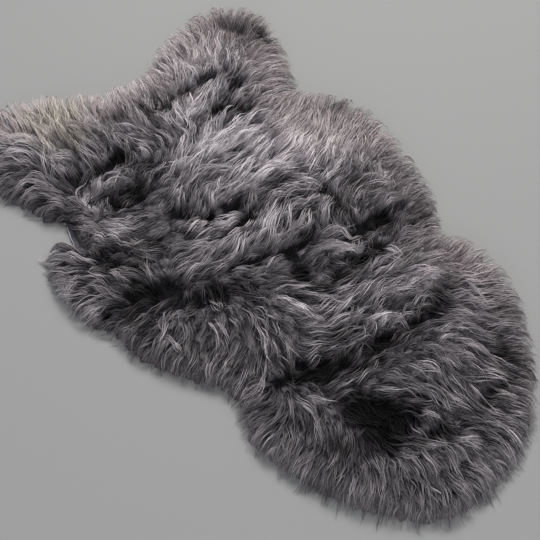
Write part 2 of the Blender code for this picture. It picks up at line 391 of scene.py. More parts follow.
def sample(field, points):
    """Bilinear reading of a grid field at points."""
    u = np.clip((points[:, 0] - grid_x[0]) / STEP, 0, len(grid_x) - 1.001)
    v = np.clip((points[:, 1] - grid_y[0]) / STEP, 0, len(grid_y) - 1.001)
    i, j = u.astype(int), v.astype(int)
    a, b = u - i, v - j
    return (
        field[i, j] * (1 - a) * (1 - b)
        + field[i + 1, j] * a * (1 - b)
        + field[i, j + 1] * (1 - a) * b
        + field[i + 1, j + 1] * a * b
    )


def softened(field, times):
    """The field with each value eased towards its four neighbours'."""
    for _ in range(times):
        padded = np.pad(field, 1, mode="edge")
        own = padded[1:-1, 1:-1] * 2
        field = (own + padded[2:, 1:-1] + padded[:-2, 1:-1] + padded[1:-1, 2:] + padded[1:-1, :-2]) / 6
    return field


def unit(vectors):
    return vectors / np.maximum(np.linalg.norm(vectors, axis=-1, keepdims=True), 1e-9)


# Patches that lie lower and darker, or fuller and paler, than the rest of the wool. Their darkness is
# painted shade in the partings and hollows, and in some lower patches painted shade where the light falls
# off towards the near side; their paleness is partly the wool's own paler tone and partly painted light
# where the wool faces the lamp. Each is given as a bare one is, and ends with its strength, from -1 for
# parted to 1 for full.
PATCHES = (
    # partings and hollows, darkened with painted shade
    (-60, -352, 60, 32, -55, -0.9), (-75, -240, 56, 16, -25, -0.9), (20, -256, 26, 15, 0, -0.75),
    (112, -264, 52, 10, 2, -0.75), (150, -244, 28, 10, 0, -0.5), (-8, -430, 40, 11, -18, -0.5),
    (-135, -222, 26, 15, 0, -0.55), (-140, -18, 52, 14, -10, -0.7), (-195, 32, 30, 24, 0, -0.75),
    (-231, 140, 18, 28, 0, -0.6), (-205, 95, 20, 15, 0, -0.4), (-150, 124, 30, 13, 0, -0.5),
    (-80, 150, 19, 22, 0, -0.6), (-55, 112, 40, 8, -24, -0.6), (-12, 104, 40, 14, 8, -0.75),
    (-118, 236, 44, 20, 5, -0.75), (-108, 316, 42, 12, 4, -0.9), (-182, 322, 18, 20, 0, -0.6),
    (-58, 268, 26, 9, -10, -0.6), (-40, 396, 25, 9, -10, -0.5), (38, 370, 18, 10, 0, -0.5),
    (125, 386, 60, 11, 5, -0.8), (184, 350, 38, 11, 48, -0.8), (124, 308, 24, 12, 0, -1.0),
    (158, 278, 22, 15, 0, -1.0), (264, 470, 34, 17, -50, -0.5), (305, 414, 14, 22, 0, -0.6),
    (262, 415, 46, 46, 0, -0.4), (14, 384, 22, 12, 0, -0.8), (288, 178, 10, 26, 0, -0.45),
    (150, 15, 10, 48, 0, -0.75), (190, -70, 30, 20, 0, -0.9), (136, -66, 25, 12, 0, -0.85),
    (130, -110, 60, 8, 0, -0.75), (36, -120, 30, 8, -5, -0.65), (8, -82, 15, 25, 0, -0.75),
    (30, -30, 20, 12, 0, -0.85), (-42, -8, 42, 7, -15, -0.75), (66, -22, 20, 8, 0, -0.6),
    (216, 30, 30, 14, 0, -0.65), (236, -112, 22, 10, 0, -0.45), (22, 74, 32, 8, 15, -0.6),
    (90, 96, 20, 8, 0, -0.5), (-80, -62, 14, 26, 0, -0.5), (154, 216, 7, 36, 0, -0.5),
    (-178, 216, 24, 8, 0, -0.6), (166, -384, 12, 24, 0, -0.5), (110, -426, 40, 8, 0, -0.55),
    (-252, 24, 18, 30, 0, -0.4), (2, -370, 15, 10, 0, -0.5), (-20, 62, 34, 9, 12, -0.8),
    (-300, 112, 9, 13, -60, -0.7), (-289, 46, 10, 16, -60, -0.7), (-266, 308, 42, 17, -65, -0.3),
    (66, 386, 40, 30, 0, -0.25), (-320, 44, 10, 8, 0, -0.5), (-228, 54, 14, 24, -30, -0.6),
    (-128, -42, 14, 12, 0, -0.5), (-112, -376, 36, 22, 0, -0.5), (-80, -402, 26, 14, 0, -0.45),
    (11, -416, 22, 12, 0, -0.45), (-26, -211, 24, 11, 0, -0.55), (-23, -274, 22, 11, 0, -0.5),
    (-35, 62, 22, 10, 0, -0.5), (-142, -354, 24, 16, 0, -0.4), (109, 264, 30, 10, 0, -0.4),
    (-118, -262, 22, 12, 0, -0.4), (-147, -298, 24, 14, 0, -0.4), (-165, -392, 22, 14, 0, -0.3),
    (42, -383, 22, 12, 0, -0.35), (180, -238, 22, 12, 0, -0.4), (40, -132, 24, 10, 0, -0.4),
    # full, pale places, partly painted light
    (305, 60, 40, 90, 0, 0.4), (-305, 68, 10, 20, -40, 0.45), (-300, 155, 16, 10, 0, 0.6),
    (-320, 112, 8, 16, 0, 0.5), (-180, 513, 40, 16, 10, 0.6), (60, 500, 330, 110, 0, 0.50),
    (150, 230, 190, 190, 0, 0.33), (-200, 430, 110, 110, 0, 0.2), (-236, 468, 26, 34, 0, 0.5),
    (250, -120, 90, 160, 0, 0.25), (-170, 495, 60, 40, 0, 0.8), (25, 446, 70, 18, 8, 1.0),
    (-80, 450, 40, 26, -20, 0.8), (130, 505, 60, 22, 10, 0.8), (155, 450, 50, 36, 0, 0.5),
    (-222, 202, 11, 28, 8, 0.6), (250, 350, 46, 50, 0, 0.42), (70, 350, 40, 20, 25, 0.7),
    (100, 345, 60, 8, 25, 0.5), (80, 235, 80, 26, 0, 0.9), (80, 140, 80, 24, 0, 0.9),
    (150, 165, 46, 26, 0, 0.8), (235, 190, 46, 70, 0, 0.42), (235, 100, 50, 30, 0, 0.45),
    (-190, 250, 14, 26, 0, 0.7), (-140, 284, 26, 8, 0, 0.6), (-312, 134, 18, 44, 0, 0.8),
    (-270, 170, 18, 24, 0, 0.5), (-185, 172, 40, 14, 0, 0.8), (-50, 92, 56, 9, -24, 0.8),
    (-75, 50, 46, 16, 0, 0.5), (20, 40, 46, 14, 0, 0.5), (80, -76, 44, 9, -30, 0.8),
    (-58, -104, 60, 12, -62, 0.4), (-10, -160, 36, 12, -40, 0.4), (100, -38, 26, 10, 30, 0.6),
    (120, -148, 56, 14, 0, 0.25), (80, -200, 46, 13, 0, 0.6), (172, -202, 30, 12, 0, 0.5),
    (70, -236, 26, 8, 0, 0.6), (206, -280, 11, 36, 0, 0.8), (130, -306, 40, 18, 0, 0.35),
    (120, -350, 36, 20, 0, 0.15), (30, -334, 40, 9, -30, 0.6), (10, -402, 40, 9, 0, 0.5),
    (0, -505, 80, 24, 0, 0.2), (-150, -405, 60, 24, 30, 0.15), (-240, -50, 8, 30, 0, 0.5),
    (-118, -280, 10, 30, 30, 0.5), (250, -250, 20, 60, 0, 0.3), (146, 74, 24, 14, 0, 0.6),
    (36, 8, 30, 12, 0, 0.5), (-68, 16, 26, 12, 0, 0.4),
)
# Patches where the wool lies calm and even
CALM = (
    (10, -480, 190, 60, 0), (-165, -330, 130, 60, -52), (200, -240, 60, 60, 0), (240, 470, 70, 60, 0),
    (150, -320, 60, 50, 0), (231, 150, 60, 50, 0), (310, 30, 36, 70, 0), (262, 400, 50, 80, 0),
    (-172, -250, 50, 50, 0),
)
# Patches where the wool is painted pale and even in colour: painted light of the lamp behind it
BACKLIT = ((231, 150, 80, 60, 0), (268, 410, 50, 70, 0), (300, 60, 40, 70, 0))
PATCH_DRIFT = 6 * MM  # how unevenly the patches end
PATCH_DRIFT_SIZE = 34 * MM
PARTED_DEPTH = 0.50  # how much lower the wool lies in a deep parting
BARE_DEPTH = 0.9


def smooth_noise(points, size, seed):
    """Noise from -1 to 1 whose patches are about this size."""
    noise = np.random.default_rng(seed)
    total = np.zeros(len(points))
    waves = 14
    for _ in range(waves):
        angle = noise.uniform(0, 2 * math.pi)
        speed = 2 * math.pi / size * noise.uniform(0.5, 1.3)
        phase = noise.uniform(0, 2 * math.pi)
        across = points[:, 0] * math.cos(angle) * speed
        along = points[:, 1] * math.sin(angle) * speed
        total += np.sin(across + along + phase)
    return total / math.sqrt(waves)


def fullness(points):
    """From -1 in a deep parting to 1 on a full, pale ridge: in the wool's colour this is painted shade at
    -1 and partly painted light at 1.
    """
    drift = np.stack([smooth_noise(points, PATCH_DRIFT_SIZE, seed) for seed in (61, 62)], axis=1)
    points = points + PATCH_DRIFT * drift
    full = sum(strength * inside_patch(points, *patch) for *patch, strength in PATCHES if strength > 0)
    parted = sum(strength * inside_patch(points, *patch) for *patch, strength in PATCHES if strength < 0)
    return np.clip(full * (1 + 0.8 * np.clip(parted, -1, 0)) + 1.1 * parted, -1, 1.2)


def grid_points():
    xs, ys = np.meshgrid(grid_x, grid_y, indexing="ij")
    return np.stack([xs.ravel(), ys.ravel()], axis=1), xs.shape


def wool_height():
    """On the grid: the wool's height, how far it is outside the cut edge, and how far wool reaches."""
    triangles = corner_points(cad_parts["fleece"])
    faces = np.arange(len(triangles) * 3).reshape(-1, 3)
    tree = BVHTree.FromPolygons(triangles.reshape(-1, 3).tolist(), faces.tolist())
    points, shape = grid_points()
    down = Vector((0, 0, -1))
    hits = [tree.ray_cast(Vector((x, y, 1.0)), down)[0] for x, y in points]
    solid = np.array([hit.z if hit else 0.0 for hit in hits])
    outside, place, out = from_edge(points)
    facing = np.clip(out @ FULLER_SIDE + 0.2, 0, 1)
    reach = overhang[np.round(place).astype(int) % len(edge)] + FULLER_REACH * facing
    share = np.clip((outside + RIM_TURN) / (reach + FULLER_FALL * facing + RIM_TURN), 0, 1)
    shoulder = RIM_SHOULDER - FLOOR_WOOL + FULLER_RISE * facing
    rim = FLOOR_WOOL + shoulder * (1 - share**3) ** RIM_BOW
    mix = np.clip((outside + RIM_BLEND) / (RIM_BLEND - RIM_TURN), 0, 1)
    height = solid * (1 - mix) + rim * mix
    height *= 1 - PARTED_DEPTH * np.clip(-fullness(points), 0, 1)
    height *= 1 - BARE_DEPTH * within(points, BARE)
    return softened(height.reshape(shape), 2), outside.reshape(shape), reach.reshape(shape)


height_field, outside_field, reach_field = wool_height()

# The way the wool lies: (across, along, degrees from +X towards +Y)
COMBED = (
    # neck and left foreleg
    (-190, 520, 92), (-150, 520, 83), (-100, 470, 65), (-50, 440, 75), (0, 440, 80), (-230, 450, 112),
    (-210, 400, 105), (-250, 380, 127), (-280, 350, 130), (-270, 310, 135), (-180, 380, 80),
    (-150, 420, 100), (-125, 400, 97), (-100, 420, 85), (-110, 350, 95), (-55, 370, 95),
    (-235, 290, 100), (-225, 240, 125), (-150, 280, 10), (-70, 230, 0), (-30, 220, 18), (10, 320, 130),
    (30, 330, 90), (-280, 440, 140), (-290, 400, 165), (-270, 500, 125),
    # right foreleg
    (20, 440, 67), (70, 450, 60), (100, 480, 65), (150, 510, 75), (180, 520, 70), (200, 440, 60),
    (230, 520, 60), (270, 530, 60), (290, 480, 50), (250, 430, 45), (300, 420, 30), (220, 400, 27),
    (260, 380, 10), (280, 360, 0), (270, 340, -3), (240, 330, 3), (270, 300, -20), (150, 370, 30),
    (100, 340, 30), (60, 350, 38), (60, 390, 60), (0, 270, 30), (50, 260, 25), (100, 270, 25),
    (100, 230, 15), (50, 210, 8), (200, 250, -3), (180, 230, -10), (230, 260, -20), (230, 200, 30),
    # left flank
    (-320, 180, 97), (-300, 170, 117), (-310, 120, 150), (-320, 80, 172), (-270, 150, 117),
    (-250, 100, 110), (-240, 50, 110), (-290, 60, 135), (-260, 60, 120), (-300, 30, 150),
    (-200, 130, 95), (-150, 150, 175), (-80, 100, -30), (-20, 70, 0), (10, 75, 10), (-50, 140, 60),
    (-20, 150, 30), (-80, 50, -5), (-60, 20, 10), (-100, 10, -10), (-250, -20, 175), (-280, -30, 175),
    (-290, -70, 190), (-270, -90, 200), (-240, -60, -85), (-220, -50, 188), (-200, -80, 200),
    (-180, -100, 210), (-200, -150, -147), (-230, -140, -160), (-150, -80, -125), (-150, -150, -120),
    (-120, -110, -95), (-170, -50, -135), (-110, -60, -90), (-80, -40, -45), (-80, -80, -75),
    (-40, -40, -20), (-90, -150, -105), (-60, -110, -60), (-25, -150, -60),
    # centre and right flank
    (50, 180, -20), (50, 150, 10), (60, 130, 8), (130, 180, 15), (130, 140, 10), (160, 150, -10),
    (200, 170, 37), (230, 150, 40), (250, 120, 35), (180, 110, 0), (150, 90, -40), (200, 60, 10),
    (130, 60, -70), (60, 50, 33), (30, 20, 22), (20, -10, 25), (160, 0, 65), (180, 20, 40),
    (200, 40, 25), (250, 60, 35), (260, 30, 20), (250, 0, 10), (220, -10, -40), (240, -30, 0),
    (260, -30, 5), (280, 0, 5), (300, 60, 20), (300, 120, 30), (40, -60, -35), (90, -90, -25),
    (200, -70, 40), (240, -65, 0), (230, -90, 20), (270, -80, 15), (210, -110, 10), (240, -120, -15),
    (220, -140, -20), (100, -130, -30), (60, -150, -10), (120, -150, -20), (100, -170, 0),
    (150, -180, 0), (200, -170, -10),
    # lower left
    (-220, -190, 195), (-200, -230, -160), (-180, -270, -170), (-240, -300, -175), (-210, -320, -150),
    (-190, -340, -140), (-200, -370, -167), (-150, -330, -125), (-170, -400, -135), (-180, -430, -145),
    (-160, -450, -150), (-150, -490, -155), (-120, -440, -115), (-100, -440, -105), (-120, -500, -117),
    (-90, -480, -100), (-80, -520, -95), (-60, -450, -90), (-50, -480, -92), (-30, -440, -70),
    (-20, -520, -85), (0, -500, -85), (-130, -210, -110), (-130, -270, -60), (-50, -230, -20),
    (-20, -240, 5), (-60, -270, 15), (-40, -310, -52), (-20, -360, -20), (-10, -400, -140),
    # lower right
    (30, -210, -3), (80, -200, 0), (120, -210, -5), (60, -225, 5), (150, -200, -10), (180, -220, -75),
    (260, -220, -3), (270, -250, -5), (30, -290, 12), (20, -330, -65), (50, -320, -60), (80, -310, -15),
    (130, -290, -15), (120, -310, 5), (160, -320, -60), (150, -330, -70), (200, -285, -93),
    (230, -270, -25), (230, -310, -20), (250, -300, -15), (230, -330, -30), (200, -370, -40),
    (100, -350, -80), (80, -380, -112), (110, -390, -85), (60, -390, -105), (40, -360, -60),
    (130, -370, -80), (190, -420, -60), (170, -440, -65), (40, -440, -50), (30, -460, -70),
    (80, -460, -75), (100, -460, -55), (120, -470, -50), (60, -490, -85), (30, -520, -90),
    (0, -530, -95), (60, -530, -85), (100, -500, -60),
)
COMB_WIDTH = 26 * MM  # how far one stroke of the comb reaches
RIM_PULL = 30 * MM  # how near the edge the wool starts to turn outwards
RIM_PULL_PAST = 10 * MM  # and how far past it the turn is at its full
RIM_TURN_OUT = 0.55


def comb_field():
    """The unit direction that the wool lies in, on the grid."""
    points, shape = grid_points()
    total = np.zeros(points.shape)
    for across, along, way in COMBED:
        far = (points[:, 0] - across * MM) ** 2 + (points[:, 1] - along * MM) ** 2
        weight = np.exp(-far / (2 * COMB_WIDTH**2)) + 1e-4 / (1 + far / COMB_WIDTH**2)
        angle = math.radians(way)
        total[:, 0] += weight * math.cos(angle)
        total[:, 1] += weight * math.sin(angle)
    outside, _, out = from_edge(points)
    pull = np.clip((outside + RIM_PULL) / (RIM_PULL + RIM_PULL_PAST), 0, 1)[:, None]
    turned_out = unit(total) * (1 - RIM_TURN_OUT * pull) + out * RIM_TURN_OUT * pull
    return unit(turned_out).reshape(*shape, 2)


comb = comb_field()

FAR_SIDE = 110 * MM  # how far inside the edge the loose wool of the fuller side begins
FAR_SIDE_BLEND = 80 * MM


def backlit_paleness(points):
    """1 on the side that faces away, where the wool stands up loose and is painted pale and even, as
    painted light of the lamp behind it, to 0 elsewhere.
    """
    outside, _, out = from_edge(points)
    facing = np.clip(out @ FULLER_SIDE + 0.35, 0, 1)
    parted = np.clip(-1.3 * fullness(points) - 0.3, 0, 1)
    far_side = facing * np.clip((outside + FAR_SIDE) / FAR_SIDE_BLEND, 0, 1)
    return np.clip(far_side + within(points, BACKLIT), 0, 1) * (1 - 0.9 * parted)


def combed_way(points):
    return unit(np.stack([sample(comb[..., axis], points) for axis in (0, 1)], axis=1))


def drawn_noise(points, size, seed):
    """Noise whose patches are this wide, and drawn out into bands along the way the wool lies."""
    total = smooth_noise(points, size, seed)
    for step in (6 * MM, -6 * MM):
        at = points
        for _ in range(5):
            at = at + combed_way(at) * step
            total = total + smooth_noise(at, size, seed)
    return total / 4.5


def undercoat_material():
    """Short combed wool: streaks that run the way it was combed, patch by patch, on a colour that holds
    painted shade in the partings and painted light on the backlit side.
    """
    made, nodes, shader = new_material("undercoat wool")
    place = nodes.place()
    patch = nodes.add("ShaderNodeTexVoronoi", {"Vector": place, "Scale": 1 / UNDERCOAT_LOCK}).outputs
    combed = nodes.kept("combed", "Vector")
    away = nodes.vector("SUBTRACT", place, patch["Position"])
    across = nodes.vector("CROSS_PRODUCT", combed, (0.0, 0.0, 1.0))
    own = nodes.add("ShaderNodeSeparateColor", {0: patch["Color"]}).outputs[0]
    spot = {
        "X": nodes.number("MULTIPLY", nodes.dot(away, across), STREAKS_ACROSS),
        "Y": nodes.number("MULTIPLY", nodes.dot(away, combed), STREAKS_ALONG),
        "Z": nodes.number("MULTIPLY", own, 60.0),
    }
    streaks = nodes.noise(nodes.add("ShaderNodeCombineXYZ", spot).outputs[0], 1.0, 3.0)
    shade = nodes.number("MULTIPLY_ADD", nodes.number("POWER", streaks, 2.5), 5.0, 0.1)
    colour = nodes.graded(nodes.kept("full"), UNDERCOAT_SHADES)
    surface = {
        "Base Color": nodes.mixed(1.0, colour, shade, "MULTIPLY"),
        "Normal": nodes.raised(streaks, 1.0, 3 * MM),
        "Roughness": 0.9,
        "Specular IOR Level": 0.08,
    }
    nodes.feed(shader, surface)
    return made


def undercoat_reach(points):
    """How far past the cut edge the undercoat hangs."""
    outside, _, out = from_edge(points)
    nearest = points - out * outside[:, None]
    bare = np.clip(1.6 * within(nearest, BARE), 0, 1)
    nicks = UNDERCOAT_NICK * smooth_noise(nearest, NICK_SIZE, 31)
    return (sample(reach_field, nearest) * UNDERCOAT_REACH + nicks) * (1 - bare) - BARE_INSET * bare


def bands(points):
    return np.clip(drawn_noise(points, BAND_SIZE, 27), -1.6, 1.6)


def make_undercoat():
    bm, boundary = pelt_grid(UNDERCOAT_GRID, undercoat_reach)
    points = flat_places(bm.verts)
    foot = SKIN_THICKNESS + SKIN_GAP + curl_at(points)
    outside = from_edge(points)[0]
    foot[outside > 0] = LOWEST_RIM
    fall = np.clip(outside / np.maximum(undercoat_reach(points), 5 * MM), 0, 1)
    tops = sample(height_field, points) * UNDERCOAT_SHARE * (1 - fall**3) ** 0.5
    for v, top in zip(bm.verts, np.maximum(tops, foot + UNDERCOAT_THINNEST)):
        v.co.z = top
    # under the overhang the undercoat's lower face runs in along the floor, then steps up on the skin
    for inward, lies in ((0.0, True), (1 * MM, True), (2 * MM, False)):
        walls = bmesh.ops.extrude_edge_only(bm, edges=boundary)["geom"]
        lower = [g for g in walls if isinstance(g, bmesh.types.BMVert)]
        boundary = [g for g in walls if isinstance(g, bmesh.types.BMEdge) and g.is_boundary]
        places = flat_places(lower)
        outside = from_edge(places)[0]
        if inward:
            places = set_back(places, lambda points: np.minimum(outside, 2 * MM) - inward)
        on_floor = (outside > STEP_UP) & lies
        feet = np.where(on_floor, FLOOR_GAP, SKIN_THICKNESS + SKIN_GAP + curl_at(places))
        for v, place, z in zip(lower, places, feet):
            v.co = (*place, z)
    bmesh.ops.triangle_fill(bm, edges=boundary, use_beauty=True, normal=(0, 0, -1))
    made = finished(bm, "undercoat", undercoat_material())
    points = mesh_points(made.data)[:, :2]
    # its colour: darker in the partings and in the lively middle, as painted shade between and under the
    # locks, and paler on the backlit side, as painted light
    backlit = backlit_paleness(points)
    lively = 1 - np.maximum(within(points, CALM), backlit)
    banded = (0.14 * bands(points) - 0.15) * lively
    full = np.maximum(fullness(points) * 0.5 + 0.5 + banded, 0.85 * backlit)
    # paler where it hangs past the cut edge: painted light on the rim's wall, which the lamp behind
    # leaves in shade
    full += 0.15 * np.clip(from_edge(points)[0] / (20 * MM), 0, 1)
    set_values(made.data, "full", full)
    set_values(made.data, "combed", np.pad(combed_way(points), ((0, 0), (0, 1))))
    return made


undercoat = make_undercoat()
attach(undercoat, "root")
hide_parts("fleece")

# ---------------------------------------------------------------------------------------------
# Wool: fine dyed fibres about 70 mm long, in some thousands of wavy locks that are gathered in
# tufts. They rise from the skin, bend over and lie on each other the way they were combed.
TUFT_SPACING = 26 * MM
TUFT_INSET = 2 * MM
TUFT_LENGTH = (60 * MM, 92 * MM)
TUFT_GATHER = (0.44, 0.22)  # how far a tuft's locks close up towards its tip, in thin and in full wool
# How far tufts turn and bend away from the comb, in radians: along with their neighbours, each one for
# itself, and each one more where the wool is curly
TURN_ALIKE, TURN_OWN, TURN_CURLY = 0.22, 0.17, 0.35
BEND_ALIKE, BEND_OWN, BEND_CURLY = 0.6, 0.40, 1.0
LOCK_SPACING = 11.4 * MM
LOCK_INSET = 9 * MM
LOCK_POINTS = 14
LOCK_SIZE = (0.62, 1.20)  # of its tuft's length
LOCK_WAVE = (1.3 * MM, 3.4 * MM)
LOCK_WAVE_LENGTH = (40 * MM, 64 * MM)
CRIMP = 0.05  # how much a lock's waves rise and fall, as a share of its height
# A lock's height as a share of the wool's: (how far along the lock, height there)
LOCK_RISE = ((0, 0.2, 0.4, 0.65, 1.0), (0.35, 0.66, 0.92, 1.0, 0.94))
STRAY_RISE = ((0, 0.25, 0.6, 1.0), (0.5, 0.95, 1.04, 0.98))
PALEST = 0.95  # the tone that the palest locks come near
# How much a lock's tone changes with its tuft, its surroundings, its band and by chance; the dark bands
# are partly painted shade in the gaps between locks
TONE_TUFT, TONE_AROUND, TONE_BAND, TONE_CHANCE = 0.20, 0.12, 0.54, 0.20
LONGEST = 108 * MM
RUFFLED_INSET = 60 * MM  # how far inside the cut edge the tufts lie as ruffled as they get
RIM_LOCK_SPACING = 7.6 * MM
RIM_ROWS = (2 * MM, 13 * MM, 27 * MM, 42 * MM)  # inside the cut edge
RIM_SLACK = 1.35  # a rim lock's length, for each millimetre that it has to reach
FLOOR_SHADE_HEIGHT = 8 * MM  # wool lower than this gets painted shade
TONE_GAIN = 3.9  # how much brighter a pale lock is than its colour from root to tip
BRIGHTEST = 2.9  # and the most that this makes of it
LOWEST_LOCK = 2 * MM
# Colour from root to tip: the near-black root is painted shade deep in the pile, the pale tip partly
# painted light of the lamp shining through
WOOL_SHADES = (
    (0.00, (0.003, 0.0027, 0.0034)),
    (0.25, (0.022, 0.0200, 0.0240)),
    (0.65, (0.20, 0.184, 0.194)),
    (1.00, (0.28, 0.260, 0.265)),
)
WARM_TINT = (1.045, 0.98, 0.965, 1)  # where the wool is backlit: painted warm light of the lamp behind it
CREAM_TINT = (1.05, 1.03, 0.87, 1)
FIBRE = {
    "Fibres per lock": 4,
    "Points per fibre": 8,
    "Root spread": 6.0 * MM,
    "Tip spread": 3.0 * MM,
    "Shortest": 0.66,
    "Hidden root": 0.10,
    "Radius": 0.58 * MM,
    "Frizz": 0.8 * MM,
    "Frizz turns": 1.3,
    "Floor clearance": 0.8 * MM,
    "Seed": 5,
}
# Patches where the locks are short and curl over each other
CURLY = (
    (-130, 235, 70, 45, 0), (-50, -345, 46, 26, -40), (60, -90, 70, 26, -25), (150, -80, 60, 36, 0),
    (-150, -40, 60, 24, -20), (20, -255, 60, 22, 0), (-215, 110, 40, 50, 0), (250, -20, 40, 60, 0),
)
# Patches where the wool is tinted cream
CREAM = ((-140, 470, 60, 40, 0), (-150, 405, 40, 26, -30))
# Locks that stand out from the rest: (root, middle, tip, how many side by side, tone)
STRAYS = (
    ((-268, 150), (-294, 186), (-317, 226), 9, 0.66), ((-262, 172), (-282, 204), (-299, 230), 6, 0.56),
    ((-284, 140), (-304, 166), (-319, 202), 5, 0.60), ((-284, 116), (-306, 134), (-326, 166), 4, 0.60),
    ((-284, 92), (-308, 104), (-331, 134), 4, 0.58),
    ((78, -48), (108, -48), (112, -84), 3, 0.58),
    ((14, -60), (66, -74), (114, -108), 5, 0.58), ((40, -246), (66, -244), (70, -272), 3, 0.48),
    ((202, -250), (200, -282), (196, -316), 4, 0.46), ((-44, -306), (-26, -330), (2, -350), 3, 0.52),
    ((-240, -40), (-236, -66), (-236, -96), 3, 0.58),
    ((-138, -258), (-124, -284), (-98, -302), 3, 0.52), ((-232, 244), (-222, 214), (-204, 184), 4, 0.56),
    ((-240, 262), (-232, 228), (-222, 196), 4, 0.52),
)


def lattice(spacing, inset, rng):
    """Jittered places on the skin, this far inside its cut edge."""
    low, high = edge.min(axis=0), edge.max(axis=0)
    rows, y, odd = [], low[1], 0
    while y < high[1]:
        x = np.arange(low[0] + odd * spacing / 2, high[0], spacing)
        rows.append(np.stack([x, np.full(len(x), y)], axis=1))
        y += spacing * 0.866
        odd = 1 - odd
    places = np.concatenate(rows)
    places += rng.uniform(-0.45, 0.45, places.shape) * spacing
    return places[from_edge(places)[0] < -inset]


def edge_places(spacing, inset, rng):
    """Jittered places a little inside the cut edge, all round it."""
    loop = np.concatenate([edge, edge[:1]])
    walked = np.concatenate([[0], np.cumsum(np.linalg.norm(np.diff(loop, axis=0), axis=1))])
    jitter = rng.uniform(0, spacing, int(math.ceil(walked[-1] / spacing)))
    stops = np.arange(0, walked[-1], spacing) + jitter
    places = np.stack([np.interp(stops, walked, loop[:, axis]) for axis in (0, 1)], axis=1)
    return places - outward_at(places) * inset


def outward_at(places):
    """The way out of the pelt at places on or near its cut edge."""
    shifts = np.eye(2) * 2 * MM
    slope = [from_edge(places + shift)[0] - from_edge(places - shift)[0] for shift in shifts]
    return unit(np.stack(slope, axis=1))


def turned(way, angle):
    cos, sin = np.cos(angle), np.sin(angle)
    return np.stack([way[:, 0] * cos - way[:, 1] * sin, way[:, 0] * sin + way[:, 1] * cos], axis=1)


def combed_lines(roots, length, turn, bend):
    """Lines that start at the roots and follow the comb, as (line, point, axis)."""
    at = roots.copy()
    path = [at]
    for n in range(1, LOCK_POINTS):
        share = n / (LOCK_POINTS - 1)
        way = turned(combed_way(at), turn + bend * (share - 0.4))
        at = at + way * (length / (LOCK_POINTS - 1))[:, None]
        path.append(at)
    return np.stack(path, axis=1)


